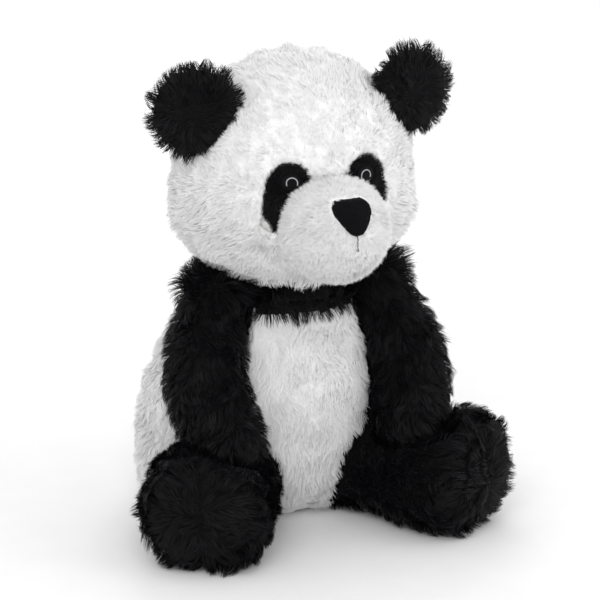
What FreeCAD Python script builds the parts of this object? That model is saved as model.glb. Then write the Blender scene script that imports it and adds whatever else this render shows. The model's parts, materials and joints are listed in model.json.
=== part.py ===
import FreeCAD, Part
import math
import os

# Seated plush panda, in millimetres. +Z is up, the face looks along -Y and +X is the panda's left.
# The origin is on the ground, under the middle of the shoulders. Every size is of the cloth and the
# dense foot of its pile, without the loose tips of the pile.

V = FreeCAD.Vector

# ---- cloth and gaps ----
SKIN = 3.0                      # thickness of a sewn panel: knitted backing and the dense foot of its pile
GAP = 0.3                       # between a panel and the stuffing behind it
JOINT_GAP = 0.7                 # between two bodies that turn against each other

# ---- body: level slices as (height, half width, half depth, middle in Y) ----
BODY_SLICES = (
    (0, 82, 56, 8),
    (8, 93, 66, 8),
    (22, 98, 74, 5),
    (45, 99, 79, 2),
    (80, 96, 78, -2),
    (110, 87, 70, -7),
    (140, 74, 58, -12),
    (158, 62, 48, -23),
    (166, 52, 42, -30),
)
BODY_TOP = BODY_SLICES[-1][0]
BASE_PANEL_TOP = 12             # seam between the base panel and the panels above it
SIDE_SEAM_Y = -40               # side seams, in line with the shoulders and hips
BAND_BOTTOM = 156               # lower seam of the black band round the chest and shoulders
PELLET_POUCH_CENTRE = (0, 26, 22)
PELLET_POUCH_HALF = (52, 34, 15)

# ---- neck ----
NECK_CENTRE = (0, -38, 173)
NECK_R = 30
NECK_THREAD_R = 0.8
NECK_THREAD_GAP = 2             # from the neck's ball to the middle of the thread

# ---- head ----
HEAD_CENTRE = (0, -38, 252)
HEAD_HALF = (84, 68, 84)
HEAD_BOTTOM = 181               # flat underside, where the head is sewn to the neck
GUSSET_HALF_WIDTH = 30          # strip over the crown, from the muzzle to the nape
CHIN_TOP = 232
MUZZLE_CENTRE = (0, -114, 230)
MUZZLE_HALF = (35, 38, 34)

# ---- face ----
PATCH_TOP = (27.5, 259)         # X and Z of the middle of the patch's wide end
PATCH_TOP_R = 13.5
PATCH_FOOT = (38, 233)          # and of its narrow end
PATCH_FOOT_R = 6.5
EYE_AT = (27, 262)
EYE_R = 6.5
EYE_HEIGHT = 1.2
GLINT_R = 4.2
GLINT_THREAD = 1.3
GLINT_HEIGHT = 0.8
GLINT_CUT_Z = -0.5              # the thread is sewn over the upper part of its circle
NOSE_HALF_WIDTH = 13
NOSE_TOP = 257
NOSE_FOOT = 236
NOSE_CORNER_R = 6
NOSE_FOOT_R = 7
NOSE_HEIGHT = 4
MOUTH_WIDTH = 1.6
MOUTH_FOOT = 226
MOUTH_HEIGHT = 1.0
FACE_PLANE_Y = -60              # outlines of the eyes and their patches are pushed forward from here

# ---- ears ----
EAR_CENTRE = (79, -60, 306)
EAR_HALF = (29, 11, 29)
EAR_TURN = 12                   # degrees that an ear's front looks outwards

# ---- arms: ball centres and radii from the shoulder to the hand ----
ARM_BALLS = (
    ((56, -40, 160), 21),
    ((74, -62, 118), 26.5),
    ((69, -87, 78), 24.5),
)
ARM_SWING_STEPS = (0, 8, 16, 24)  # degrees; further up, the arm is clear of the body's flank
DOME_ANGLES = (75, 50, 25, 0)   # where the round ends of an arm are sliced
TUBE_STEPS = 4                  # sections between an arm's shoulder and its hand
CALF_STEPS = 4                  # and along a leg's calf
FRONT_OF_BODY = 140             # degrees from straight down, forward and up

# ---- legs: round about the line from the hip to the sole ----
HIP = (50, -42, 38)
LEG_HEADING = 31                # degrees from straight ahead, outwards
LEG_RISE = 3.0                  # degrees
HIP_R = 37.5
LEG_START = 10                  # where the hip's ball runs into the thigh
LEG_CURVE = ((35, 33.5), (58, 41.5), (81, 41.5))  # control points beyond it, as (distance, radius)
SOLE_AT = 113
LEG_SPLAY_MIDDLE = 1.5          # degrees about the hip, outwards
LEG_ROOM = 3.3                  # round the leg in the body, so that it can splay
HAND_CLEARS_FOOT = 20           # degrees of swing at which the hand is above the foot
DENT_ROOM = 6.5                   # round the resting hand, so that the leg can splay under it
SIDES = (1, -1)                 # the panda's left and right
SIDE_NAMES = {1: "_left", -1: "_right"}
SEAM_AT_BACK = 90               # degrees; where a round surface closes on itself
SEAM_AT_SIDE = 0
SEAM_BELOW = 130
FAR = 400                       # larger than the whole toy


def half_space(low=(-FAR, -FAR, -FAR), high=(FAR, FAR, FAR)):
    """A box from one corner to the other, by default larger than the toy on every side."""
    size = [b - a for a, b in zip(low, high)]
    return Part.makeBox(*size, V(*low))


def ellipsoid(centre, half, seam=SEAM_AT_BACK):
    """An ellipsoid. Its surface's own seam is kept clear of the cuts that other pieces make."""
    ball = Part.makeSphere(1)
    ball.rotate(V(0, 0, 0), V(0, 0, 1), seam)
    scale = FreeCAD.Matrix()
    scale.scale(V(*half))
    solid = ball.transformGeometry(scale)
    solid.translate(V(*centre))
    return solid


def shrunk(half, by):
    return tuple(h - by for h in half)


def at(point, side):
    """A point given on the panda's left, on its left (side 1) or its right (side -1)."""
    return V(side * point[0], point[1], point[2])


def cut_all(shape, tools):
    for tool in tools:
        shape = shape.cut(tool)
    return shape


def written(name, shape):
    """Writes one sub-part's solids under its own name."""
    solids = [s for s in shape.Solids if s.Volume > 1.0]
    result = solids[0] if len(solids) == 1 else Part.makeCompound(solids)
    result.exportStep("parts/" + name + ".step")
    print(name, len(solids), "solid(s)", round(result.Volume / 1000, 2), "cm3", result.isValid())


# ---- limbs ----
def stuffed_tube(side, extra=0.0):
    """An arm's tube with round ends, along a smooth curve through the balls' centres."""
    middle = Part.BSplineCurve()
    middle.interpolate([at(centre, side) for centre, _ in ARM_BALLS])
    first, last = middle.FirstParameter, middle.LastParameter
    radii = [r + extra for _, r in ARM_BALLS]
    sections = []
    for angle in DOME_ANGLES:
        sections.append(tube_section(middle, first, radii[0], -angle))
    for step in range(1, TUBE_STEPS):
        share = step / TUBE_STEPS
        sections.append(tube_section(middle, first + (last - first) * share, radius_at(radii, share), 0))
    for angle in reversed(DOME_ANGLES):
        sections.append(tube_section(middle, last, radii[-1], angle))
    return Part.makeLoft(sections, True, False)


def radius_at(radii, share):
    """The radius at a share of the way along three radii, on the parabola through them."""
    start, middle, end = radii
    rest = 1 - share
    return start * rest * (rest - share) + 4 * middle * share * rest + end * share * (share - rest)


def tube_section(middle, place, radius, angle):
    """The tube's round section at a place on its middle line, or on the dome past an end."""
    ahead = middle.tangent(place)[0]
    turn = math.radians(angle)
    centre = middle.value(place) + ahead * (radius * math.sin(turn))
    return Part.Wire(Part.Circle(centre, ahead, radius * math.cos(turn)).toShape())


def arm_rooms(side):
    """The room that the arm needs in the body's side as it swings up from rest about the shoulder."""
    (x, y, z), r = ARM_BALLS[0]
    inner = [
        (x - r - JOINT_GAP, 0),
        (x - r - JOINT_GAP, 8),
        (48, 54),
        (41, 98),
        (44, 113),
        (54, 123),
        (70, 127),
        (FAR, 127),
        (FAR, 0),
    ]
    points = [V(side * px, y, z - reach) for px, reach in inner]
    face = Part.Face(Part.makePolygon(points + points[:1]))
    rooms = [face.revolve(V(0, y, z), V(-1, 0, 0), FRONT_OF_BODY)]
    rooms.append(Part.makeSphere(r + 2 * JOINT_GAP, at((x, y, z), side)))
    return rooms + swung_arms(side, JOINT_GAP)


def swung_arms(side, extra):
    """The arm's tube at the first steps of its swing, larger all round by extra."""
    _, y, z = ARM_BALLS[0][0]
    tube = stuffed_tube(side, extra)
    steps = []
    for angle in ARM_SWING_STEPS:
        swung = tube.copy()
        swung.rotate(V(0, y, z), V(-1, 0, 0), angle)
        steps.append(swung)
    return steps


def arm_pieces(side):
    """One arm: a front and a back panel sewn round its stuffing."""
    shell = stuffed_tube(side).cut(stuffed_tube(side, -SKIN))
    shoulder = V(*ARM_BALLS[0][0])
    along = V(*ARM_BALLS[-1][0]) - shoulder
    lean = math.degrees(math.atan2(-along.y, -along.z))
    front_side = half_space(high=(FAR, 0, FAR))
    front_side.rotate(V(0, 0, 0), V(1, 0, 0), -lean)
    front_side.translate(V(0, shoulder.y, shoulder.z))
    return {
        "arm_front_panel": shell.common(front_side),
        "arm_back_panel": shell.cut(front_side),
        "arm_stuffing": stuffed_tube(side, -SKIN - GAP),
    }


def leg_sections(extra):
    """Distances along the leg from the hip, each with the leg's radius there."""
    hip = HIP_R + extra
    start = V(LEG_START, math.sqrt(hip * hip - LEG_START * LEG_START), 0)
    calf = Part.BezierCurve()
    calf.setPoles([start] + [V(distance, radius + extra, 0) for distance, radius in LEG_CURVE])
    foot_at, foot_r = LEG_CURVE[-1]
    sections = []
    for angle in DOME_ANGLES[:-1]:
        turn = math.radians(angle)
        sections.append((-hip * math.sin(turn), hip * math.cos(turn)))
    sections.append((0, hip))
    for step in range(CALF_STEPS + 1):
        on_calf = calf.value(step / CALF_STEPS)
        sections.append((on_calf.x, on_calf.y))
    for angle in reversed(DOME_ANGLES[:-1]):
        turn = math.radians(angle)
        depth = SOLE_AT + extra - foot_at
        sections.append((foot_at + depth * math.sin(turn), (foot_r + extra) * math.cos(turn)))
    return sections


def leg_turned(side, extra):
    """The leg lofted through round sections, with the surface's own seam along its underside."""
    rings = []
    for distance, radius in leg_sections(extra):
        rings.append(Part.Wire(Part.Circle(V(distance, 0, 0), V(1, 0, 0), radius).toShape()))
    leg = Part.makeLoft(rings, True, False)
    leg.rotate(V(0, 0, 0), V(1, 0, 0), SEAM_BELOW)
    return placed_leg(leg, side)


def placed_leg(shape, side):
    shape.rotate(V(0, 0, 0), V(0, 1, 0), -LEG_RISE)
    shape.rotate(V(0, 0, 0), V(0, 0, 1), side * LEG_HEADING - 90)
    shape.translate(at(HIP, side))
    return shape


def hollowed(leg, side, depth):
    """The leg less the dent that the hand presses into the thigh, and its way up over the foot."""
    (hx, hy, hz), hand_r = ARM_BALLS[-1]
    _, y, z = ARM_BALLS[0][0]
    swing = FreeCAD.Rotation(V(-1, 0, 0), HAND_CLEARS_FOOT)
    rest = at((hx, hy, hz), side)
    pivot = V(side * hx, y, z)
    way = swing.multVec(rest - pivot) + pivot - rest
    r = hand_r + DENT_ROOM + depth
    ball = Part.makeSphere(r, rest, V(1, 0, 0))
    return leg.cut(ball).cut(Part.makeCylinder(r, FAR, rest, way))


def leg_pieces(side):
    """One leg: an inner and an outer panel that meet along the middle of the sole, and its stuffing."""
    outside = hollowed(leg_turned(side, 0), side, 0)
    shell = outside.cut(hollowed(leg_turned(side, -SKIN), side, SKIN))
    left_half = placed_leg(half_space(low=(-FAR, 0, -FAR)), side)
    right_half = placed_leg(half_space(high=(FAR, 0, FAR)), side)
    outer, inner = (left_half, right_half)[::side]
    return {
        "leg_outer_panel": shell.common(outer),
        "leg_inner_panel": shell.common(inner),
        "leg_stuffing": hollowed(leg_turned(side, -SKIN - GAP), side, SKIN + GAP),
    }


# ---- body ----
def body_solid(extra):
    """The pear-shaped body through its level slices, larger or smaller all round by extra."""
    slices = []
    for z, half_width, half_depth, y in BODY_SLICES:
        level = z
        if z == 0:
            level = -extra
        if z == BODY_TOP:
            level = BODY_TOP + extra
        oval = Part.Ellipse(V(0, y, level), half_width + extra, half_depth + extra)
        slices.append(Part.Wire([oval.toShape()]))
    return Part.makeLoft(slices, True, False)


def body_rooms():
    """What the neck, the arms and the legs take out of the body, with room to turn."""
    rooms = [Part.makeSphere(NECK_R + JOINT_GAP, V(*NECK_CENTRE))]
    for side in SIDES:
        rooms += arm_rooms(side)
        leg_room = leg_turned(side, LEG_ROOM)
        leg_room.rotate(at(HIP, side), V(0, 0, side), LEG_SPLAY_MIDDLE)
        rooms.append(leg_room)
    return rooms


def body_pieces():
    rooms = body_rooms()
    shell = cut_all(body_solid(0).cut(body_solid(-SKIN)), rooms)
    low = half_space(high=(FAR, FAR, BASE_PANEL_TOP))
    top = half_space(low=(-FAR, -FAR, BAND_BOTTOM))
    front = half_space(high=(FAR, SIDE_SEAM_Y, FAR))
    left = half_space(low=(0, -FAR, -FAR))
    middle = cut_all(shell, (low, top))
    back = middle.cut(front)
    band = shell.common(top)
    shoulder_y = ARM_BALLS[0][0][1]
    band_front = half_space(high=(FAR, shoulder_y, FAR))
    pouch = ellipsoid(PELLET_POUCH_CENTRE, PELLET_POUCH_HALF)
    pouch_room = ellipsoid(PELLET_POUCH_CENTRE, shrunk(PELLET_POUCH_HALF, -GAP))
    stuffing = cut_all(body_solid(-SKIN - GAP), rooms).cut(pouch_room)
    return {
        "base_panel": shell.common(low),
        "belly_panel": middle.common(front),
        "back_panel_left": back.common(left),
        "back_panel_right": back.cut(left),
        "chest_band": band.common(band_front),
        "shoulder_band": band.cut(band_front),
        "body_stuffing": stuffing,
        "pellet_pouch": pouch,
    }


def neck_pieces():
    """The firm ball of stuffing that carries the head, and the thread that closes the body round it."""
    x, y, z = NECK_CENTRE
    thread_at = V(x, y, BODY_TOP + NECK_THREAD_R)
    return {
        "neck_stuffing": Part.makeSphere(NECK_R, V(x, y, z)),
        "neck_seam_thread": Part.makeTorus(NECK_R + NECK_THREAD_GAP, NECK_THREAD_R, thread_at),
    }


# ---- head ----
def muzzle(extra):
    return ellipsoid(MUZZLE_CENTRE, shrunk(MUZZLE_HALF, -extra), SEAM_AT_SIDE)


def head_outer(extra):
    return ellipsoid(HEAD_CENTRE, shrunk(HEAD_HALF, -extra))


def forward_prism(face):
    """Pushes an outline forward, past the muzzle."""
    return face.extrude(V(0, -FAR / 2, 0))


def tangent_quad(top, top_r, foot, foot_r):
    """The four-sided face between two circles and their two outer tangent lines, in a plane of fixed Y."""
    span = foot - top
    heading = math.atan2(span.z, span.x)
    lean = math.acos((top_r - foot_r) / span.Length)
    points = []
    for turn, order in ((lean, 1), (-lean, -1)):
        ray = V(math.cos(heading + turn), 0, math.sin(heading + turn))
        ends = [top + ray * top_r, foot + ray * foot_r]
        points += ends[::order]
    return Part.Face(Part.makePolygon(points + points[:1]))


def patch_prism(side):
    """An eye patch seen from the front: a wide round end and a narrow one, with tangent sides."""
    top = V(side * PATCH_TOP[0], FACE_PLANE_Y, PATCH_TOP[1])
    foot = V(side * PATCH_FOOT[0], FACE_PLANE_Y, PATCH_FOOT[1])
    shape = forward_prism(tangent_quad(top, PATCH_TOP_R, foot, PATCH_FOOT_R))
    shape = shape.fuse(round_prism(top, PATCH_TOP_R))
    return shape.fuse(round_prism(foot, PATCH_FOOT_R)).removeSplitter()


def round_prism(centre, radius):
    return forward_prism(Part.Face(Part.Wire(Part.Circle(centre, V(0, 1, 0), radius).toShape())))


def nose_prism():
    """A triangle with rounded corners, point down."""
    y = MUZZLE_CENTRE[1]
    corners = (
        (-NOSE_HALF_WIDTH + NOSE_CORNER_R, NOSE_TOP - NOSE_CORNER_R, NOSE_CORNER_R),
        (NOSE_HALF_WIDTH - NOSE_CORNER_R, NOSE_TOP - NOSE_CORNER_R, NOSE_CORNER_R),
        (0, NOSE_FOOT + NOSE_FOOT_R, NOSE_FOOT_R),
    )
    shape = forward_prism(Part.Face(Part.makePolygon([V(x, y, z) for x, z, _ in corners + corners[:1]])))
    for k in range(3):
        (xa, za, ra), (xb, zb, rb) = corners[k], corners[(k + 1) % 3]
        if ra < rb:
            (xa, za, ra), (xb, zb, rb) = (xb, zb, rb), (xa, za, ra)
        shape = shape.fuse(forward_prism(tangent_quad(V(xa, y, za), ra, V(xb, y, zb), rb)))
        shape = shape.fuse(round_prism(V(xa, y, za), ra))
        shape = shape.fuse(round_prism(V(xb, y, zb), rb))
    return shape.removeSplitter()


def ear_solid(side, extra):
    return placed_ear(ellipsoid((0, 0, 0), shrunk(EAR_HALF, -extra)), side)


def placed_ear(shape, side):
    shape.rotate(V(0, 0, 0), V(0, 0, 1), side * EAR_TURN)
    shape.translate(at(EAR_CENTRE, side))
    return shape


def ear_pieces(side):
    """One ear: a front and a back panel round thin padding, open where it is sewn to the head."""
    shell = ear_solid(side, 0).cut(ear_solid(side, -SKIN)).cut(head_outer(0))
    front_side = placed_ear(half_space(high=(FAR, 0, FAR)), side)
    return {
        "ear_front": shell.common(front_side),
        "ear_back": shell.cut(front_side),
        "ear_padding": ear_solid(side, -SKIN - GAP).cut(head_outer(GAP)),
    }


def eye_pieces(side):
    """The embroidered eye on its patch, and the thread that arches over it."""
    eye_at = V(side * EYE_AT[0], FACE_PLANE_Y, EYE_AT[1])
    raised = head_outer(EYE_HEIGHT)
    ring = round_prism(eye_at, GLINT_R).cut(round_prism(eye_at, GLINT_R - GLINT_THREAD))
    arch = ring.common(half_space(low=(-FAR, -FAR, EYE_AT[1] + GLINT_CUT_Z)))
    return {
        "eye": raised.cut(head_outer(0)).common(round_prism(eye_at, EYE_R)).cut(muzzle(GAP)),
        "eye_glint": head_outer(EYE_HEIGHT + GLINT_HEIGHT).cut(raised).common(arch).cut(muzzle(GAP)),
    }


def muzzle_pieces():
    """The muzzle's cup over its stuffing, the nose pad and the mouth's stitch below it."""
    half = MOUTH_WIDTH / 2
    mouth_line = half_space(low=(-half, -FAR, MOUTH_FOOT), high=(half, MUZZLE_CENTRE[1], NOSE_FOOT))
    return {
        "muzzle_panel": muzzle(0).cut(muzzle(-SKIN)).cut(head_outer(-SKIN)),
        "muzzle_stuffing": muzzle(-SKIN - GAP).cut(head_outer(-SKIN)),
        "nose": muzzle(NOSE_HEIGHT).cut(muzzle(0)).common(nose_prism()),
        "mouth_stitch": muzzle(MOUTH_HEIGHT).cut(muzzle(0)).common(mouth_line).cut(nose_prism()),
    }


def head_pieces():
    """The head's panels and eye patches round their stuffing, open where the neck goes in."""
    neck_room = Part.makeSphere(NECK_R + JOINT_GAP, V(*NECK_CENTRE))
    under = half_space(high=(FAR, FAR, HEAD_BOTTOM))
    shell = cut_all(head_outer(0).cut(head_outer(-SKIN)), (muzzle(0), under, neck_room))
    pieces = {"head_stuffing": cut_all(head_outer(-SKIN - GAP), (under, neck_room))}
    for side in SIDES:
        prism = patch_prism(side)
        pieces["eye_patch" + SIDE_NAMES[side]] = shell.common(prism)
        shell = shell.cut(prism)
    strip = half_space(low=(-GUSSET_HALF_WIDTH, -FAR, -FAR), high=(GUSSET_HALF_WIDTH, FAR, FAR))
    front = half_space(high=(FAR, HEAD_CENTRE[1], CHIN_TOP))
    centre = shell.common(strip)
    pieces["head_gusset"] = centre.cut(front)
    pieces["chin_panel"] = centre.common(front)
    pieces["head_side_left"] = shell.common(half_space(low=(GUSSET_HALF_WIDTH, -FAR, -FAR)))
    pieces["head_side_right"] = shell.common(half_space(high=(-GUSSET_HALF_WIDTH, FAR, FAR)))
    return pieces


def main():
    os.makedirs("parts", exist_ok=True)
    pieces = {}
    for group in (body_pieces, neck_pieces, head_pieces, muzzle_pieces):
        pieces.update(group())
    for side in SIDES:
        for group in (eye_pieces, ear_pieces, arm_pieces, leg_pieces):
            for name, shape in group(side).items():
                pieces[name + SIDE_NAMES[side]] = shape
    for name, shape in pieces.items():
        written(name, shape)


main()
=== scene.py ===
import json
import math
from dataclasses import dataclass
import bpy
import numpy as np
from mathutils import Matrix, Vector
from mathutils.bvhtree import BVHTree
from mathutils.kdtree import KDTree


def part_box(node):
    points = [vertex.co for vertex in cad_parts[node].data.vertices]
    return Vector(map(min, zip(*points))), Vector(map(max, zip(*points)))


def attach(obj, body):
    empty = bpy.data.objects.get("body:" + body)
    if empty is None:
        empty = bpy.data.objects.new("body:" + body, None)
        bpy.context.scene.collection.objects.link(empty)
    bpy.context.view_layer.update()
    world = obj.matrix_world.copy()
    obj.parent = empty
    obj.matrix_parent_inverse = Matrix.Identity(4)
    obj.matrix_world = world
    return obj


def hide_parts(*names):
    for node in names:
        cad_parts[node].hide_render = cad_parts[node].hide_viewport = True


# A seated plush panda. Every stuffed form starts from its CAD panels, which a voxel remesh turns into
# one even skin. The skin is smoothed, creased along its seams and swollen, and then grows its pile as
# real tapered fibres. Shapes are worked out in millimetres in the frame's axes, and are written to
# Blender in metres.

MM = 0.001
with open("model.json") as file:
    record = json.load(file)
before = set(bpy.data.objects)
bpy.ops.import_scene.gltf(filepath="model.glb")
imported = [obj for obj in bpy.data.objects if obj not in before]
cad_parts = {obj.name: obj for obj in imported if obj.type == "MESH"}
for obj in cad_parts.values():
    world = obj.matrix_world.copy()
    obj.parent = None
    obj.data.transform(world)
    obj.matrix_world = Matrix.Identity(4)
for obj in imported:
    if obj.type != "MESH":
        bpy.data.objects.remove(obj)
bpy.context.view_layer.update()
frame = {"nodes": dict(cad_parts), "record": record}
rng = np.random.default_rng(20)

SIDES = ("left", "right")
UP = np.array((0.0, 0.0, 1.0))
BACKWARDS = Vector((0, 1, 0))   # the panda looks along -Y
FAR = 500                       # beyond any piece, in millimetres
AHEAD = 20                      # how far ahead of a piece a look at its front starts
FLOOR_CLEARANCE = 0.3           # the lowest that cloth and fibres come to the floor
FOOT_R = 42                     # from the middle of a foot to its side

# How far the cloth stands out from its CAD form, in millimetres.
CHEEK_SWELL = 4.5
MUZZLE_FOLD = 4                 # where the face rises to the muzzle's seam
EAR_DISH = 4.0
NOSE_SWELL = 1.4
SHOULDER_SWELL = 8.5
THIGH_SWELL = 3.5
TOE_SWELL = 2.5

# How the pile lies. Shares are of a fibre's own length, angles are in degrees from upright.
PRESSED = 0.28                  # share of its length that pile keeps where another form lies on it
FLATTEST = 80                   # and its angle there
ROOM_HEIGHT = 2                 # where the gap to the next form is measured, above the cloth
FULL_ROOM = 0.8                 # gap, as a share of the coat's length, that leaves fibres their length
FREE_LEAN = 0.8                 # share of full room that leaves them their own angle
LENGTH_SPREAD = (0.7, 1.15)
LENGTH_WAVE = 0.18              # slow change of length over the cloth
SWIRL = 0.55                    # slow change of direction over the cloth
STRAY = 0.25                    # change of direction from fibre to fibre
LEAN_WAVE = 10
LEAN_STRAY = 7
BEND_AT = 0.55                  # share of the length at which a fibre bends
BEND_LEAN = 0.45                # share of the full lean that it has up to there
PULL_SPREAD = (0.5, 1.2)
MIDDLE_PULL = 0.4               # share of the tuft's pull that the middle of a fibre follows
OWN_PLACE = 0.25                # share of its offset that a fibre keeps within its tuft
SUNK = 0.5                      # how deep the foot of a fibre starts below the cloth, in millimetres
TWIST = 0.6
WIDTH_SPREAD = (0.7, 1.25)
TUFT_SHADE = 0.6                # share of fibres that take the shade of their tuft
CUTS = (0.0, 0.4, 0.75, 1.0)    # where a fibre's ribbon is cut along its length
TAPER = (1.0, 0.85, 0.5)        # its width at the first three cuts; the last is the point


# ---- places taken from the frame ----
def box_of(*names):
    """Lowest and highest corner of some CAD nodes together."""
    corners = [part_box(name) for name in names]
    low = np.min([np.array(c[0]) for c in corners], axis=0) / MM
    high = np.max([np.array(c[1]) for c in corners], axis=0) / MM
    return low, high


def joint_place(name):
    joint = next(j for j in frame["record"]["behaviour"]["joints"] if j["name"] == name)
    return np.array(joint["pos_m"]) / MM


HEAD_NODES = ["head_gusset", "head_side_left", "head_side_right", "chin_panel"]
MUZZLE_NODES = ["muzzle_panel"]
BODY_NODES = ["belly_panel", "back_panel_left", "back_panel_right", "base_panel"]
BAND_NODES = ["chest_band", "shoulder_band"]
head_low, head_high = box_of(*HEAD_NODES)
HEAD_HALF = (head_high - head_low) / 2
HEAD_HALF[2] = HEAD_HALF[0]
HEAD_CENTRE = np.array((0, (head_low[1] + head_high[1]) / 2, head_high[2] - HEAD_HALF[2]))
muzzle_low, muzzle_high = box_of(*MUZZLE_NODES)
MUZZLE_HALF = (muzzle_high - muzzle_low) / 2
MUZZLE_DEPTH = MUZZLE_HALF[0] * 1.09
MUZZLE_CENTRE = np.array((0, muzzle_low[1] + MUZZLE_DEPTH, (muzzle_low[2] + muzzle_high[2]) / 2))


# ---- small vector helpers ----
def unit(v):
    return v / np.maximum(np.linalg.norm(v, axis=-1, keepdims=True), 1e-9)


def dot(a, b):
    return np.sum(a * b, axis=-1, keepdims=True)


def ramp(value, start, end):
    """Smooth step from 0 at start to 1 at end."""
    t = np.clip((value - start) / (end - start), 0, 1)
    return t * t * (3 - 2 * t)


CHANNELS = 4
WAVES = 9
wave_dirs = unit(rng.normal(size=(CHANNELS, WAVES, 3)))
wave_phases = rng.uniform(0, 2 * math.pi, size=(CHANNELS, WAVES))
wave_stretch = rng.uniform(0.7, 1.4, size=(CHANNELS, WAVES))


def noise(p, size, channel):
    """Smooth noise over space, about -1 to 1, with lumps of a given size. Channels are unlike."""
    total = np.zeros(len(p))
    for k in range(WAVES):
        along = p @ wave_dirs[channel, k]
        total += np.sin(along * wave_stretch[channel, k] * math.pi / size + wave_phases[channel, k])
    return total / math.sqrt(WAVES)


# ---- meshes ----
def object_from(name, co, faces, materials, face_material=None, normals=None):
    """A mesh object from points in millimetres and faces, given as one index array for each size."""
    mesh = bpy.data.meshes.new(name)
    sizes = np.concatenate([np.full(len(f), f.shape[1]) for f in faces])
    loops = np.concatenate([f.ravel() for f in faces]).astype(np.int32)
    starts = np.concatenate(([0], np.cumsum(sizes)[:-1])).astype(np.int32)
    mesh.vertices.add(len(co))
    mesh.vertices.foreach_set("co", (np.asarray(co, np.float64) * MM).astype(np.float32).ravel())
    mesh.loops.add(len(loops))
    mesh.loops.foreach_set("vertex_index", loops)
    mesh.polygons.add(len(sizes))
    mesh.polygons.foreach_set("loop_start", starts)
    mesh.polygons.foreach_set("use_smooth", np.ones(len(sizes), bool))
    if face_material is not None:
        mesh.polygons.foreach_set("material_index", face_material.astype(np.int32))
    for material in materials:
        mesh.materials.append(material)
    mesh.update(calc_edges=True)
    mesh.validate()
    if normals is not None:
        mesh.normals_split_custom_set_from_vertices(normals)
    obj = bpy.data.objects.new(name, mesh)
    bpy.context.scene.collection.objects.link(obj)
    return obj


def node_arrays(names):
    """Points in millimetres and triangles of some CAD nodes together."""
    points, triangles, count = [], [], 0
    for name in names:
        mesh = frame["nodes"][name].data
        mesh.calc_loop_triangles()
        co = np.empty(len(mesh.vertices) * 3, np.float32)
        mesh.vertices.foreach_get("co", co)
        tri = np.empty(len(mesh.loop_triangles) * 3, np.int32)
        mesh.loop_triangles.foreach_get("vertices", tri)
        points.append(co.reshape(-1, 3) / MM)
        triangles.append(tri.reshape(-1, 3) + count)
        count += len(mesh.vertices)
    return np.concatenate(points), np.concatenate(triangles)


trees = {}


def tree_of(names):
    key = tuple(names)
    if key not in trees:
        points, triangles = node_arrays(names)
        trees[key] = BVHTree.FromPolygons(points.tolist(), triangles.tolist())
    return trees[key]


def distance_to(points, names):
    tree = tree_of(names)
    return np.array([tree.find_nearest(p, FAR)[3] or 0 for p in points.tolist()])


def surface_y(tree, x, z, front, otherwise=None):
    """Where a surface lies along Y, seen from ahead of it at one place."""
    hit = tree.ray_cast(Vector((x, front - AHEAD, z)), BACKWARDS)[0]
    return hit.y if hit else otherwise


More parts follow.
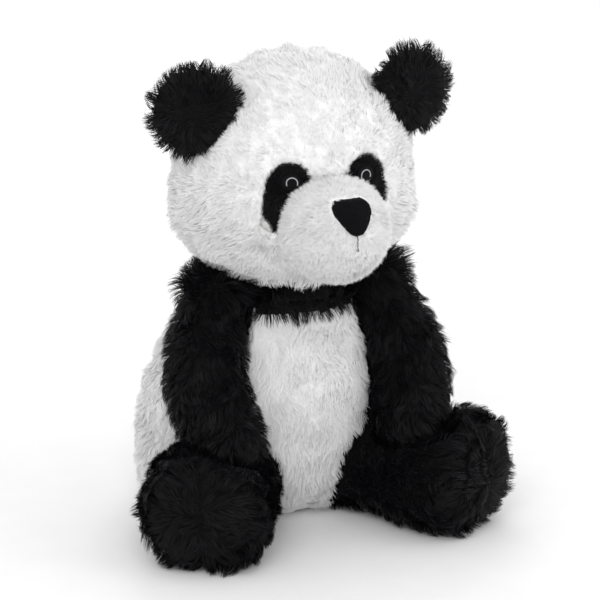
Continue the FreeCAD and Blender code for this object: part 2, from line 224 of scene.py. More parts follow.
class Form:
    """An even quad skin over a stuffed form: points, faces, normals and the panel under each face."""

    def __init__(self, nodes, voxel, smoothing=4, lift=0.0):
        points, triangles = node_arrays(nodes)
        raw = object_from("raw", points, [triangles], [])
        remesh = raw.modifiers.new("even", "REMESH")
        remesh.mode = "VOXEL"
        remesh.voxel_size = voxel * MM
        even = bpy.data.meshes.new_from_object(raw.evaluated_get(bpy.context.evaluated_depsgraph_get()))
        co = np.empty(len(even.vertices) * 3, np.float32)
        even.vertices.foreach_get("co", co)
        quads = np.empty(len(even.polygons) * 4, np.int32)
        even.polygons.foreach_get("vertices", quads)
        bpy.data.objects.remove(raw)
        self.co = co.reshape(-1, 3).astype(float) / MM
        self.quads = quads.reshape(-1, 4)
        self.keep_largest()
        self.edges = np.unique(np.sort(np.concatenate(
            [self.quads[:, [i, (i + 1) % 4]] for i in range(4)]), axis=1), axis=0)
        self.smooth(smoothing)
        self.label(nodes)
        if lift:
            self.co += self.normals() * lift
        self.on_floor()

    def keep_largest(self):
        """Drops inner walls, so that only the outermost closed surface stays."""
        group = np.arange(len(self.co))
        settled = False
        while not settled:
            low = group[self.quads].min(axis=1)
            new = group.copy()
            np.minimum.at(new, self.quads.ravel(), np.repeat(low, 4))
            new = new[new]
            settled = (new == group).all()
            group = new
        main = np.bincount(group[self.quads[:, 0]]).argmax()
        self.quads = self.quads[group[self.quads[:, 0]] == main]
        used, flat = np.unique(self.quads, return_inverse=True)
        self.co = self.co[used]
        self.quads = flat.reshape(-1, 4)

    def neighbour_mean(self, values):
        count = len(values)
        total = np.zeros_like(values)
        a, b = self.edges.T
        for axis in range(values.shape[1]):
            total[:, axis] = (np.bincount(a, values[b, axis], count)
                              + np.bincount(b, values[a, axis], count))
        number = np.bincount(a, minlength=count) + np.bincount(b, minlength=count)
        return total / number[:, None]

    def smooth(self, rounds):
        for _ in range(rounds):
            self.co = 0.4 * self.co + 0.6 * self.neighbour_mean(self.co)

    def normals(self):
        a, b, c, d = [self.co[self.quads[:, i]] for i in range(4)]
        face = np.cross(c - a, d - b)
        total = np.zeros_like(self.co)
        for i in range(4):
            for axis in range(3):
                total[:, axis] += np.bincount(self.quads[:, i], face[:, axis], len(self.co))
        return unit(total)

    def centres(self):
        return self.co[self.quads].mean(axis=1)

    def label(self, nodes):
        """Notes for each face which panel it belongs to."""
        gaps = np.array([distance_to(self.centres(), [name]) for name in nodes])
        self.names = list(nodes)
        self.panel = gaps.argmin(axis=0)

    def seam_distance(self):
        """Distance of each point from the nearest seam between two panels."""
        low = np.full(len(self.co), len(self.names))
        high = np.full(len(self.co), -1)
        for i in range(4):
            np.minimum.at(low, self.quads[:, i], self.panel)
            np.maximum.at(high, self.quads[:, i], self.panel)
        border = np.flatnonzero(low != high)
        if len(border) == 0:
            return np.full(len(self.co), float(FAR))
        tree = KDTree(len(border))
        for i, index in enumerate(border):
            tree.insert(self.co[index], i)
        tree.balance()
        return np.array([tree.find(p)[2] for p in self.co.tolist()])

    def crease(self, depth, width):
        """Pulls the skin in along its seams."""
        self.co -= self.normals() * (depth * np.exp(-(self.seam_distance() / width) ** 2))[:, None]

    def swell(self, amount):
        """Moves each point along its normal by its own amount."""
        self.co += self.normals() * amount[:, None]
        self.on_floor()

    def on_floor(self):
        self.co[:, 2] = np.maximum(self.co[:, 2], FLOOR_CLEARANCE)

    def faces_of(self, names):
        wanted = [self.names.index(name) for name in names]
        return np.isin(self.panel, wanted)

    def skin(self, name, nodes, material):
        """The cloth of some panels as an object."""
        faces = self.quads[self.faces_of(nodes)]
        used, flat = np.unique(faces, return_inverse=True)
        return object_from(name, self.co[used], [flat.reshape(-1, 4)], [material])


# ---- pile ----
@dataclass
class Coat:
    """How a pile fabric looks, in millimetres and degrees."""

    density: float              # fibres to the square millimetre
    length: float
    width: float
    lean: float                 # angle from upright
    clump: float                # how far the tips of a tuft draw together, 0 to 1
    per_clump: int
    curl: float                 # sideways bow as a share of the length
    jitter: float               # scatter of the tips as a share of the length
    shades: list
    flat: float                 # how far a fibre is lit like the cloth below it, 0 to 1


def scatter(form, nodes, density):
    """Random roots over some panels, with the skin's normal at each."""
    faces = form.quads[form.faces_of(nodes)]
    corners = form.co[faces]
    crossing = np.cross(corners[:, 2] - corners[:, 0], corners[:, 3] - corners[:, 1])
    area = np.linalg.norm(crossing, axis=1) / 2
    count = int(area.sum() * density)
    pick = rng.choice(len(faces), count, p=area / area.sum())
    u, v = rng.random((2, count, 1))
    weights = [(1 - u) * (1 - v), u * (1 - v), u * v, (1 - u) * v]
    normal = form.normals()[faces[pick]]
    place = sum(w * corners[pick, i] for i, w in enumerate(weights))
    facing = unit(sum(w * normal[:, i] for i, w in enumerate(weights)))
    return place, facing


def room_left(roots, normals, avoid, reach):
    """From PRESSED where another form lies against the skin to 1 where the pile has room to stand."""
    if not avoid:
        return np.ones(len(roots))
    above = roots + normals * ROOM_HEIGHT
    return np.clip(distance_to(above, avoid) / reach, PRESSED, 1)


def fibre_lengths(root, normal, coat, room, scale):
    length = coat.length * room * rng.uniform(*LENGTH_SPREAD, len(root))
    if scale is not None:
        length = length * scale(root, normal)
    return length * (1 + LENGTH_WAVE * noise(root, size=9, channel=3))


def combed(root, normal, comb):
    """The way each fibre leans over the cloth: the comb's way, with swirls and strays."""
    way = comb(root, normal)
    way = way - dot(way, normal) * normal
    across = np.cross(normal, unit(way))
    way = unit(way) + across * (SWIRL * noise(root, size=17, channel=0))[:, None]
    way += rng.normal(0, STRAY, (len(root), 3))
    return unit(way - dot(way, normal) * normal)


def leaning(root, normal, coat, room, lean):
    """Each fibre's angle from upright, in radians as a column."""
    angle = coat.lean if lean is None else lean(root, normal)
    angle = FLATTEST + (angle - FLATTEST) * ramp(room, PRESSED, FREE_LEAN)
    angle = angle + LEAN_WAVE * noise(root, size=12, channel=1) + rng.normal(0, LEAN_STRAY, len(root))
    return np.radians(angle)[:, None]


def gather(root, middle, tip, coat):
    """Draws the fibres of each tuft to its leader. Gives back their middles, tips and leaders."""
    count = len(root)
    leaders = rng.choice(count, max(count // coat.per_clump, 1), replace=False)
    tree = KDTree(len(leaders))
    for i, index in enumerate(leaders):
        tree.insert(root[index], i)
    tree.balance()
    leader = leaders[np.array([tree.find(p)[1] for p in root.tolist()])]
    pull = coat.clump * rng.uniform(*PULL_SPREAD, (count, 1))
    spread = (root - root[leader]) * OWN_PLACE
    tip = tip + pull * (tip[leader] + spread - tip)
    middle = middle + MIDDLE_PULL * pull * (middle[leader] + spread - middle)
    return middle, tip, leader


def ribbons(base, middle, tip, normal, width):
    """Seven points for each fibre, a pair at each cut and the point, and the way its face looks."""
    count = len(base)
    line = [(1 - s) ** 2 * base + 2 * s * (1 - s) * middle + s * s * tip for s in CUTS]
    ahead = unit(tip - base)
    side = unit(np.cross(ahead, normal))
    twist = rng.normal(0, TWIST, (count, 1))
    side = side * np.cos(twist) + np.cross(ahead, side) * np.sin(twist)
    face_way = np.cross(side, ahead)
    flip = np.where(dot(face_way, normal) < 0, -1.0, 1.0)
    side, face_way = side * flip, face_way * flip
    half_width = width * rng.uniform(*WIDTH_SPREAD, (count, 1)) / 2
    points = []
    for place, share in zip(line, TAPER):
        points.append(place - side * half_width * share)
        points.append(place + side * half_width * share)
    points.append(line[-1])
    return np.stack(points, axis=1), face_way


def shade_numbers(leader, shades):
    """The shade of each fibre, which is often the shade of its whole tuft."""
    count = len(leader)
    own = rng.integers(0, shades - 1, count)
    of_tuft = rng.integers(0, shades - 1, count)[leader]
    return np.where(rng.random(count) < TUFT_SHADE, of_tuft, own)


def grow(name, form, nodes, coat, comb, scale=None, avoid=(), keep=None, lean=None):
    """Grows the pile of some panels as one object of tapered, curved fibres in tufts."""
    root, normal = scatter(form, nodes, coat.density)
    if keep is not None:
        stay = keep(root, normal)
        root, normal = root[stay], normal[stay]
    room = room_left(root, normal, avoid, coat.length * FULL_ROOM)
    length = fibre_lengths(root, normal, coat, room, scale)
    way = combed(root, normal, comb)
    angle = leaning(root, normal, coat, room, lean)
    long_way = length[:, None]
    tip = root + long_way * (np.cos(angle) * normal + np.sin(angle) * way)
    tip += rng.normal(0, coat.jitter, (len(root), 3)) * long_way
    bend = angle * BEND_LEAN
    middle = root + BEND_AT * long_way * (np.cos(bend) * normal + np.sin(bend) * way)
    middle += np.cross(normal, way) * (coat.curl * length * noise(root, size=5, channel=2))[:, None]
    middle, tip, leader = gather(root, middle, tip, coat)

    points, face_way = ribbons(root - normal * SUNK, middle, tip, normal, coat.width)
    per_fibre = points.shape[1]
    co = points.reshape(-1, 3)
    co[:, 2] = np.maximum(co[:, 2], FLOOR_CLEARANCE)
    start = np.arange(len(root))[:, None] * per_fibre
    lower, upper, point = (start + np.array(corners) for corners in ((0, 1, 3, 2), (2, 3, 5, 4), (4, 5, 6)))
    shade = shade_numbers(leader, len(coat.shades))
    # Each fibre's own shade is random tone. Its foot takes the next darker finish and its point the next
    # lighter one: painted shade deep in the pile and painted light on the tips.
    materials = np.concatenate((np.maximum(shade - 1, 0), shade, shade + 1))
    normals = unit(face_way * (1 - coat.flat) + normal * coat.flat)
    return object_from(name, co, [lower, upper, point], coat.shades, materials,
                       np.repeat(normals, per_fibre, axis=0))


# ---- materials ----
def material_with(name, rough, sheen, sheen_tint, specular):
    mat = bpy.data.materials.new(name)
    mat.use_nodes = True
    shader = mat.node_tree.nodes["Principled BSDF"]
    shader.inputs["Roughness"].default_value = rough
    shader.inputs["Sheen Weight"].default_value = sheen
    shader.inputs["Sheen Roughness"].default_value = 0.45
    shader.inputs["Sheen Tint"].default_value = (*sheen_tint, 1)
    shader.inputs["Specular IOR Level"].default_value = specular
    return mat, shader


def fibre_shades(name, colours, rough, sheen, tint, specular):
    """A row of plain finishes, from the darkest fibre to the lightest. grow() gives each fibre's foot a
    darker finish as painted shade and its point a lighter one as painted light.
    """
    shades = []
    for i, colour in enumerate(colours):
        mat, shader = material_with(f"{name}_{i}", rough, sheen, tint, specular)
        shader.inputs["Base Color"].default_value = (*colour, 1)
        shades.append(mat)
    return shades


def mottled(name, dark, light, rough, sheen, tint, specular, scale, bump, weave=0.0):
    """A cloth finish whose colour and height vary with noise, or with a woven grid of threads."""
    mat, shader = material_with(name, rough, sheen, tint, specular)
    nodes, links = mat.node_tree.nodes, mat.node_tree.links
    place = nodes.new("ShaderNodeTexCoord").outputs["Object"]
    speck = nodes.new("ShaderNodeTexNoise")
    speck.inputs["Scale"].default_value = scale
    speck.inputs["Detail"].default_value = 6
    links.new(place, speck.inputs["Vector"])
    height = speck.outputs["Fac"]
    if weave:
        threads = []
        for direction in ("X", "Z"):
            thread = nodes.new("ShaderNodeTexWave")
            thread.bands_direction = direction
            thread.inputs["Scale"].default_value = weave
            thread.inputs["Distortion"].default_value = 0.6
            links.new(place, thread.inputs["Vector"])
            threads.append(thread.outputs["Fac"])
        grid = nodes.new("ShaderNodeMath")
        grid.operation = "MAXIMUM"
        links.new(threads[0], grid.inputs[0])
        links.new(threads[1], grid.inputs[1])
        height = grid.outputs[0]
    colours = nodes.new("ShaderNodeValToRGB")
    colours.color_ramp.elements[0].position = 0.3
    colours.color_ramp.elements[1].position = 0.7
    colours.color_ramp.elements[0].color = (*dark, 1)
    colours.color_ramp.elements[1].color = (*light, 1)
    links.new(height, colours.inputs["Fac"])
    links.new(colours.outputs["Color"], shader.inputs["Base Color"])
    relief = nodes.new("ShaderNodeBump")
    relief.inputs["Strength"].default_value = bump
    relief.inputs["Distance"].default_value = 0.0006
    links.new(height, relief.inputs["Height"])
    links.new(relief.outputs["Normal"], shader.inputs["Normal"])
    return mat


COOL = (0.75, 0.75, 1.0)
WHITE = (1.0, 1.0, 1.0)
white_shades = fibre_shades("white_fibre", [(c, c, c) for c in (0.84, 0.88, 0.90, 0.92)],
                            rough=0.9, sheen=0.1, tint=WHITE, specular=0.15)
black_shades = fibre_shades("black_fibre", [(0.0012, 0.0012, 0.0016), (0.0022, 0.0022, 0.003),
                                            (0.004, 0.004, 0.0055), (0.008, 0.008, 0.011)],
                            rough=0.5, sheen=0.012, tint=COOL, specular=0.16)
white_cloth = mottled("white_backing", (0.82, 0.82, 0.82), (0.94, 0.94, 0.94),
                      rough=0.9, sheen=0.1, tint=WHITE, specular=0.1, scale=900, bump=0.6)
black_cloth = mottled("black_backing", (0.001, 0.001, 0.0012), (0.004, 0.004, 0.005),
                      rough=0.8, sheen=0.01, tint=COOL, specular=0.1, scale=900, bump=0.6)
felt = mottled("nose_felt", (0.0015, 0.0015, 0.0017), (0.007, 0.007, 0.008),
               rough=0.95, sheen=0.02, tint=COOL, specular=0.06, scale=2600, bump=0.9)
dark_thread = mottled("black_thread", (0.001, 0.001, 0.0012), (0.004, 0.004, 0.005),
                      rough=0.5, sheen=0.0, tint=COOL, specular=0.15, scale=4000, bump=0.4)
pale_thread = mottled("white_thread", (0.42, 0.43, 0.45), (0.62, 0.63, 0.66),
                      rough=0.5, sheen=0.1, tint=WHITE, specular=0.4, scale=4000, bump=0.4)
fibre_fill = mottled("fibre_filling", (0.72, 0.72, 0.7), (0.92, 0.92, 0.9),
                     rough=0.95, sheen=0.3, tint=WHITE, specular=0.1, scale=350, bump=1.0)
pouch_weave = mottled("pouch_weave", (0.55, 0.53, 0.48), (0.78, 0.76, 0.7),
                      rough=0.9, sheen=0.1, tint=WHITE, specular=0.2, scale=400, bump=0.8, weave=900)

long_white = Coat(density=0.85, length=6.8, width=0.5, lean=60, clump=0.38, per_clump=16,
                  curl=0.12, jitter=0.09, shades=white_shades, flat=0.85)
short_white = Coat(density=1.8, length=4.4, width=0.36, lean=46, clump=0.38, per_clump=14,
                   curl=0.14, jitter=0.16, shades=white_shades, flat=0.9)
tufted_black = Coat(density=0.72, length=9.5, width=0.47, lean=52, clump=0.68, per_clump=34,
                    curl=0.08, jitter=0.05, shades=black_shades, flat=0.3)
collar_black = Coat(density=1.0, length=9.5, width=0.46, lean=52, clump=0.45, per_clump=24,
                    curl=0.08, jitter=0.07, shades=black_shades, flat=0.3)
short_black = Coat(density=2.4, length=4.0, width=0.32, lean=48, clump=0.35, per_clump=10,
                   curl=0.05, jitter=0.12, shades=black_shades, flat=0.3)


def dress(piece, body, replaced=()):
    """Hangs a piece on its body, and hides the CAD nodes that it stands for."""
    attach(piece, body)
    if replaced:
        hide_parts(*replaced)
    return piece


# ---- head ----
def head():
    form = Form(HEAD_NODES, voxel=2.2, smoothing=5)
    place = (form.co - HEAD_CENTRE) / HEAD_HALF
    cheeks = np.exp(-((place[:, 2] + 0.45) / 0.3) ** 2) * ramp(np.abs(place[:, 0]), 0.3, 0.8)
    patches = ["eye_patch_left", "eye_patch_right"]
    from_muzzle = (np.linalg.norm((form.co - MUZZLE_CENTRE) / MUZZLE_HALF, axis=1) - 1) * MUZZLE_HALF[0]
    rising = MUZZLE_FOLD * np.exp(-(from_muzzle / 8) ** 2) * ramp(distance_to(form.co, patches), 3, 10)
    form.swell(CHEEK_SWELL * cheeks + rising + 0.7 * noise(form.co, size=9, channel=1))
    form.crease(depth=1.0, width=3)
    under_muzzle = MUZZLE_HALF * 0.97
    ears = [f"ear_{part}_{side}" for part in ("front", "back") for side in SIDES]

    def comb(p, n):
        away = unit(p - (MUZZLE_CENTRE + np.array((0, -10, 0))))
        return away + np.array((0, 0.2, -0.9)) * ramp(HEAD_CENTRE[2] - p[:, 2], -20, 30)[:, None]

    def cheek(p):
        return ramp(HEAD_CENTRE[2] + 5 - p[:, 2], 0, 35) * ramp(np.abs(p[:, 0]), 15, 45)

    def scale(p, n):
        face = ramp(-p[:, 1], 60, 100) * ramp(70 - np.abs(p[:, 0]), 0, 20)
        chin = ramp(HEAD_CENTRE[2] - 50 - p[:, 2], 0, 15) * ramp(26 - np.abs(p[:, 0]), 0, 16)
        jowl = ramp(HEAD_CENTRE[2] - 38 - p[:, 2], 0, 16) * ramp(np.abs(p[:, 0]), 24, 44)
        return 1 - 0.4 * face + 0.25 * cheek(p) + 0.5 * chin - 0.6 * jowl

    def lean(p, n):
        return 66 - 18 * cheek(p)

    def keep(p, n):
        outside = np.linalg.norm((p - MUZZLE_CENTRE) / under_muzzle, axis=1) > 1
        return outside & (distance_to(p, patches) > 1.4)

    skin = form.skin("head_skin", HEAD_NODES, white_cloth)
    dress(skin, "head", HEAD_NODES)
    for node in HEAD_NODES:
        pile = grow(f"{node}_pile", form, [node], long_white, comb, scale, ears, keep, lean)
        dress(pile, "head")


def muzzle():
    form = Form(MUZZLE_NODES, voxel=1.6, smoothing=4, lift=0.6)
    form.swell(0.35 * noise(form.co, size=7, channel=2))
    nose_top = box_of("nose")[1][2]
    bridge = np.array((0, MUZZLE_CENTRE[1], nose_top))

    def comb(p, n):
        return unit(p - bridge - np.array((0, -40, 0))) + np.array((0, 0.6, -0.5))

    def keep(p, n):
        outside_head = p[:, 1] < MUZZLE_CENTRE[1] + 22
        return outside_head & (distance_to(p, ["nose"]) > 0.8)

    skin = form.skin("muzzle_skin", MUZZLE_NODES, white_cloth)
    dress(skin, "head", MUZZLE_NODES)
    pile = grow("muzzle_pile", form, MUZZLE_NODES, short_white, comb, keep=keep)
    dress(pile, "head")


def ear(side):
    nodes = [f"ear_front_{side}", f"ear_back_{side}"]
    form = Form(nodes, voxel=1.6, smoothing=4)
    low, high = box_of(*nodes)
    centre = (low + high) / 2
    radius = (high[2] - low[2]) / 2
    out = np.linalg.norm((form.co - centre)[:, [0, 2]], axis=1) / radius
    front = form.normals() @ np.array((0, -1.0, 0))
    form.swell(-EAR_DISH * ramp(front, 0.3, 0.9) * (1 - ramp(out, 0.1, 0.75)))

    def comb(p, n):
        return (p - centre) * np.array((1, 0.2, 1)) + UP * 3

    def scale(p, n):
        rim = ramp(np.linalg.norm((p - centre)[:, [0, 2]], axis=1) / radius, 0.45, 0.95)
        return 0.75 + 0.35 * rim

    def keep(p, n):
        inside = np.linalg.norm((p - HEAD_CENTRE) / (HEAD_HALF + 1), axis=1) < 1
        return ~inside

    skin = form.skin(f"ear_skin_{side}", nodes, black_cloth)
    dress(skin, "head", nodes)
    for node in nodes:
        pile = grow(f"{node}_pile", form, [node], tufted_black, comb, scale, keep=keep)
        dress(pile, "head")


def eye_patch(side):
    node = f"eye_patch_{side}"
    form = Form([node], voxel=0.9, smoothing=3, lift=0.8)
    low, high = box_of(node)
    middle = (low + high) / 2

    # The foot of the patch narrows to a tip at its inner edge.
    narrowing = 0.62
    tip = ramp(low[2] + 17 - form.co[:, 2], 0, 15)
    inner_edge = np.abs(form.co[form.co[:, 2] < low[2] + 8, 0]).min() + 1.5
    aside = np.abs(form.co[:, 0]) - inner_edge
    form.co[:, 0] -= np.sign(middle[0]) * np.maximum(aside, 0) * narrowing * tip

    def comb(p, n):
        return (p - middle) * np.array((1, 0.3, 1)) / 12 - UP * 0.4

    def keep(p, n):
        clear_of_eye = distance_to(p, [f"eye_{side}"]) > 0.9
        return (n[:, 1] < 0.5) & clear_of_eye

    skin = form.skin(f"{node}_skin", [node], black_cloth)
    dress(skin, "head", [node])
    pile = grow(f"{node}_pile", form, [node], short_black, comb, keep=keep)
    dress(pile, "head")


def nose():
    form = Form(["nose"], voxel=0.6, smoothing=14, lift=0.5)
    low, high = box_of("nose")
    middle = (low + high) / 2
    out = np.linalg.norm(((form.co - middle) / (high - low) * 2)[:, [0, 2]], axis=1)
    form.swell(NOSE_SWELL * (1 - ramp(out, 0, 1)) + 0.12 * noise(form.co, size=1.6, channel=1))
    skin = form.skin("nose_pad", ["nose"], felt)
    dress(skin, "head", ["nose"])


def round_line(line):
    """Two directions square to each point of a line and to each other."""
    ahead = unit(np.gradient(line, axis=0))
    side = unit(np.cross(ahead, np.array((0.3, -1.0, 0.2))))
    return side, np.cross(ahead, side)


def tube(line, radius, sides=6):
    """Points, side faces and caps of a round tube along a line of points."""
    line = np.asarray(line, float)
    side, other = round_line(line)
    turns = np.arange(sides) * 2 * math.pi / sides
    rings = [side * math.cos(t) + other * math.sin(t) for t in turns]
    co = np.stack([line + ring * radius for ring in rings], axis=1).reshape(-1, 3)
    quads = []
    for i in range(0, (len(line) - 1) * sides, sides):
        for j in range(sides):
            k = (j + 1) % sides
            quads.append((i + j, i + k, i + sides + k, i + sides + j))
    last = len(co) - sides
    caps = np.array([list(range(sides))[::-1], list(range(last, len(co)))])
    return co, np.array(quads), caps


def threads(name, lines, radius, material):
    """Many threads as one object."""
    co, quads, caps, count = [], [], [], 0
    for line in lines:
        points, sides, ends = tube(line, radius)
        co.append(points)
        quads.append(sides + count)
        caps.append(ends + count)
        count += len(points)
    faces = [np.concatenate(quads), np.concatenate(caps)]
    return object_from(name, np.concatenate(co), faces, [material])


def twisted(line, ply_radius, pitch):
    """Two plies wound round a line of points."""
    line = np.asarray(line, float)
    side, other = round_line(line)
    run = np.concatenate(([0], np.cumsum(np.linalg.norm(np.diff(line, axis=0), axis=1))))
    turn = run * 2 * math.pi / pitch
    plies = []
    for start in (0, math.pi):
        wave = side * np.cos(turn + start)[:, None] + other * np.sin(turn + start)[:, None]
        plies.append(line + wave * ply_radius)
    return plies


def eye(side):
    """Satin stitches across the eye, and the pale thread sewn in an arch over it."""
    low, high = box_of(f"eye_{side}")
    centre = (low + high) / 2
    radius = (high[2] - low[2]) / 2
    tree = tree_of([f"eye_{side}"])
    lines = []
    stitch_pitch = 0.42
    for across in np.arange(-radius + 0.25, radius, stitch_pitch):
        reach = math.sqrt(max(radius ** 2 - across ** 2, 0.1))
        line = []
        for share in np.linspace(-1, 1, 13):
            x, z = centre[0] + across, centre[2] + reach * share
            y = surface_y(tree, x, z, low[1], high[1])
            line.append((x, y - 0.7 + 1.1 * share ** 6, z))
        lines.append(line)
    stitches = threads(f"eye_stitches_{side}", lines, 0.27, dark_thread)
    dress(stitches, "head", [f"eye_{side}"])
    glint_low, glint_high = box_of(f"eye_glint_{side}")
    middle = (glint_low + glint_high) / 2
    arch_r = (glint_high[0] - glint_low[0]) / 2 - 0.5
    arch = []
    for angle in np.linspace(math.radians(-25), math.radians(205), 60):
        x = middle[0] + arch_r * math.cos(angle)
        z = glint_high[2] - 0.5 - arch_r + arch_r * math.sin(angle)
        y = surface_y(tree, x, z, low[1], glint_high[1])
        arch.append((x, y - 1.5, z))
    plies = twisted(arch, ply_radius=0.17, pitch=1.4)
    glint = threads(f"eye_glint_thread_{side}", plies, 0.22, pale_thread)
    dress(glint, "head", [f"eye_glint_{side}"])


def mouth():
    """The mouth's line of stitches, which ends in a small knot."""
    low, high = box_of("mouth_stitch")
    tree = tree_of(MUZZLE_NODES)
    line = []
    for z in np.linspace(high[2], low[2], 40):
        line.append((0.25 * math.sin(z * 2), surface_y(tree, 0, z, low[1]) - 2.6, z))
    end_y, end_z = line[-1][1:]
    knot = [(math.cos(t), end_y, end_z + 0.7 * math.sin(t)) for t in np.linspace(0, 6.2, 20)]
    plies = twisted(line, ply_radius=0.14, pitch=1.9)
    stitch = threads("mouth_thread", plies + [knot], 0.19, dark_thread)
    dress(stitch, "head", ["mouth_stitch"])


# ---- body ----
def body():
    form = Form(BODY_NODES + BAND_NODES, voxel=2.4, smoothing=5)
    form.swell(0.6 * noise(form.co, size=14, channel=1))
    form.crease(depth=1.2, width=3)
    seam_z, collar_z = (corner[2] for corner in box_of(*BAND_NODES))
    limbs = [f"arm_{part}_panel_{side}" for part in ("front", "back") for side in SIDES]
    limbs += [f"leg_{part}_panel_{side}" for part in ("outer", "inner") for side in SIDES]

    def comb(p, n):
        return np.array((0, 0, -1.0)) + 0.3 * unit(p - np.array((0, 0, 80)))

    def keep(p, n):
        return n[:, 2] > -0.6

    def scale(p, n):
        return 1 - 0.35 * ramp(p[:, 2], seam_z - 12, seam_z)

    def rising(p):
        return ramp(p[:, 2], collar_z - 6, collar_z - 1)

    def collar_comb(p, n):
        up = rising(p)[:, None]
        return comb(p, n) * (1 - up) + up * (n * np.array((1, 1, 0)) + UP * 2)

    def collar_lean(p, n):
        return 54 - 34 * rising(p)

    def collar_scale(p, n):
        sides = ramp(np.abs(p[:, 0]), 12, 40)
        return 1.25 * (1 - rising(p)) + (0.8 + 0.7 * sides) * rising(p)

    white_skin = form.skin("body_skin", BODY_NODES, white_cloth)
    dress(white_skin, "torso", BODY_NODES)
    black_skin = form.skin("band_skin", BAND_NODES, black_cloth)
    dress(black_skin, "torso", BAND_NODES)
    for node in BODY_NODES:
        pile = grow(f"{node}_pile", form, [node], long_white, comb, scale, limbs, keep)
        dress(pile, "torso")
    for node in BAND_NODES:
        pile = grow(f"{node}_pile", form, [node], collar_black, collar_comb, collar_scale,
                    lean=collar_lean)
        dress(pile, "torso")


def arm(side):
    nodes = [f"arm_front_panel_{side}", f"arm_back_panel_{side}"]
    form = Form(nodes, voxel=2.2, smoothing=4)
    shoulder = joint_place(f"arm_swing_{side}")
    over_shoulder = ramp(form.co[:, 2] - shoulder[2], -5, 14)
    form.swell(0.6 * noise(form.co, size=12, channel=2) + SHOULDER_SWELL * over_shoulder)
    form.crease(depth=0.8, width=3)
    low, high = box_of(*nodes)
    hand = np.array(((low[0] + high[0]) / 2, low[1] + 25, low[2] + 25))

    def shoulder_top(p):
        return ramp(p[:, 2] - shoulder[2], 2, 18)

    def comb(p, n):
        return unit(hand - shoulder) * (1 - shoulder_top(p))[:, None] + n * np.array((0.5, 0.5, 0))

    def lean(p, n):
        tip = ramp(shoulder[2] - p[:, 2], 50, 100)
        return 52 - 6 * tip - 30 * shoulder_top(p)

    def scale(p, n):
        return 1 + 0.45 * shoulder_top(p)

    skin = form.skin(f"arm_skin_{side}", nodes, black_cloth)
    dress(skin, f"arm_{side}", nodes)
    near = BODY_NODES[:3] + [f"leg_{part}_panel_{side}" for part in ("outer", "inner")]
    for node in nodes:
        pile = grow(f"{node}_pile", form, [node], tufted_black, comb, scale, near, lean=lean)
        dress(pile, f"arm_{side}")


def leg(side):
    nodes = [f"leg_outer_panel_{side}", f"leg_inner_panel_{side}"]
    form = Form(nodes, voxel=2.2, smoothing=4)
    hip = joint_place(f"leg_splay_{side}")
    low, high = box_of(*nodes)
    outwards = 1 if side == "left" else -1
    foot = np.array((high[0] if side == "left" else low[0], low[1], high[2] / 2))
    foot[:2] += np.array((-outwards, 1)) * FOOT_R
    axis = unit((foot - hip) * np.array((1, 1, 0.0)))
    sideways = np.cross(axis, UP)
    inwards = (form.co - hip) @ sideways * outwards
    thigh = ramp(inwards, 5, 30) * ramp(hip[2] + 5 - form.co[:, 2], 0, 25)
    toes = ramp((form.co - foot) @ axis, -15, 15) * ramp((foot - form.co) @ sideways * outwards, 0, 25)
    form.swell(THIGH_SWELL * thigh + TOE_SWELL * toes + 0.5 * noise(form.co, size=12, channel=3))
    form.crease(depth=1.0, width=3)

    def facing_sole(n):
        return ramp(n @ axis, 0.45, 0.8)

    def comb(p, n):
        across = ((p - foot) @ sideways)[:, None]
        height = ((p - foot) @ UP)[:, None]
        sole = facing_sole(n)[:, None]
        fan = sideways * (across + 6 * np.sign(across)) + UP * height * 0.8
        return fan * sole + (1 - sole) * 30 * axis

    def lean(p, n):
        return 48 + 16 * facing_sole(n)

    def scale(p, n):
        rim = ramp(n @ axis, 0.1, 0.4) * (1 - ramp(n @ axis, 0.6, 0.8))
        return 0.95 + 0.4 * rim

    def keep(p, n):
        return n[:, 2] > -0.93

    skin = form.skin(f"leg_skin_{side}", nodes, black_cloth)
    dress(skin, f"leg_{side}", nodes)
    near = BODY_NODES[:3] + [f"arm_{part}_panel_{side}" for part in ("front", "back")]
    for node in nodes:
        pile = grow(f"{node}_pile", form, [node], tufted_black, comb, scale, near, keep, lean)
        dress(pile, f"leg_{side}")


def inner_pieces():
    """The CAD pieces that keep their shape: filling, pouch and hidden threads."""
    finishes = {"stuffing": fibre_fill, "padding": fibre_fill,
                "pouch": pouch_weave, "thread": dark_thread}
    for name, obj in frame["nodes"].items():
        for word, finish in finishes.items():
            if word in name:
                for slot in obj.material_slots:
                    slot.material = finish


def neck():
    """The neck's ball under short black pile, between the band and the chin."""
    form = Form(["neck_stuffing"], voxel=1.8, smoothing=2)
    skin = form.skin("neck_skin", ["neck_stuffing"], black_cloth)
    dress(skin, "neck", ["neck_stuffing"])

    def comb(p, n):
        return n * np.array((1, 1, 0)) - UP * 0.3

    def keep(p, n):
        return n[:, 2] < 0.6

    pile = grow("neck_pile", form, ["neck_stuffing"], short_black, comb, keep=keep)
    dress(pile, "neck")


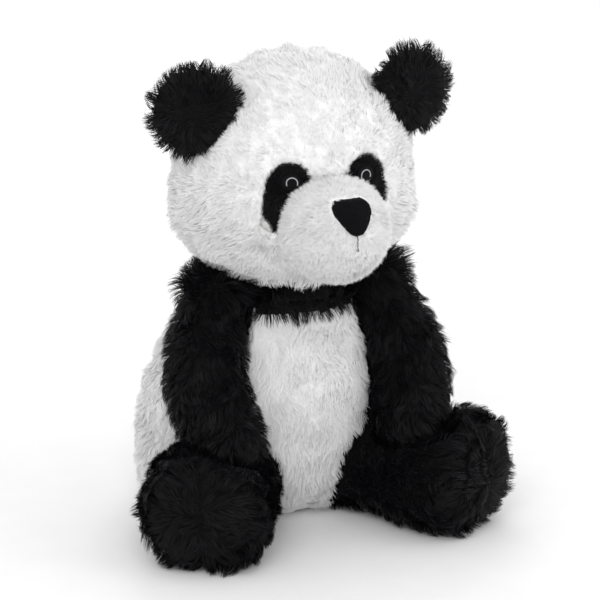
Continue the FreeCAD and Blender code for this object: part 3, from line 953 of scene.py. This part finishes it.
# ---- stage, in metres ----
FLOOR_HALF = 4
LAMPS = (
    # name, place, size, watts
    ("key", (-0.9, -1.6, 1.7), 1.4, 19),
    ("fill", (1.6, -1.2, 0.9), 1.6, 9),
    ("rim", (0.6, 1.4, 1.5), 1.2, 10),
)
LAMP_TARGET = Vector((0, -0.05, 0.18))
SKY_STRENGTH = 0.82
CAMERA_TARGET = Vector((0, -0.052, 0.1607))
CAMERA_AZIMUTH = math.radians(-22)
CAMERA_ELEVATION = math.radians(18)
CAMERA_DISTANCE = 2.1
LENS, SENSOR = 180, 36          # millimetres


def studio_floor():
    half = FLOOR_HALF / MM
    corners = np.array(((-half, -half, 0), (half, -half, 0), (half, half, 0), (-half, half, 0)), float)
    paper = mottled("studio_paper", (0.88, 0.88, 0.88), (0.9, 0.9, 0.9),
                    rough=0.9, sheen=0, tint=WHITE, specular=0.1, scale=30, bump=0.0)
    object_from("floor", corners, [np.array([[0, 1, 2, 3]])], [paper])


def lights():
    world = bpy.data.worlds.new("studio")
    world.use_nodes = True
    world.node_tree.nodes["Background"].inputs["Color"].default_value = (1, 1, 1, 1)
    world.node_tree.nodes["Background"].inputs["Strength"].default_value = SKY_STRENGTH
    bpy.context.scene.world = world
    for name, place, size, watts in LAMPS:
        lamp = bpy.data.lights.new(name, "AREA")
        lamp.size = size
        lamp.energy = watts
        light = bpy.data.objects.new(name, lamp)
        light.location = place
        light.rotation_euler = (LAMP_TARGET - Vector(place)).to_track_quat("-Z", "Y").to_euler()
        bpy.context.scene.collection.objects.link(light)
    bpy.context.scene.view_settings.view_transform = "Standard"


def camera():
    level = math.cos(CAMERA_ELEVATION)
    back = Vector((math.sin(CAMERA_AZIMUTH) * level, -math.cos(CAMERA_AZIMUTH) * level,
                   math.sin(CAMERA_ELEVATION)))
    data = bpy.data.cameras.new("camera")
    data.lens = LENS
    data.sensor_width = SENSOR
    obj = bpy.data.objects.new("camera", data)
    obj.location = CAMERA_TARGET + back * CAMERA_DISTANCE
    obj.rotation_euler = (-back).to_track_quat("-Z", "Y").to_euler()
    bpy.context.scene.collection.objects.link(obj)
    bpy.context.scene.camera = obj


head()
muzzle()
for side_name in SIDES:
    ear(side_name)
    eye_patch(side_name)
    eye(side_name)
nose()
mouth()
body()
for side_name in SIDES:
    arm(side_name)
    leg(side_name)
neck()
inner_pieces()
studio_floor()
lights()
camera()
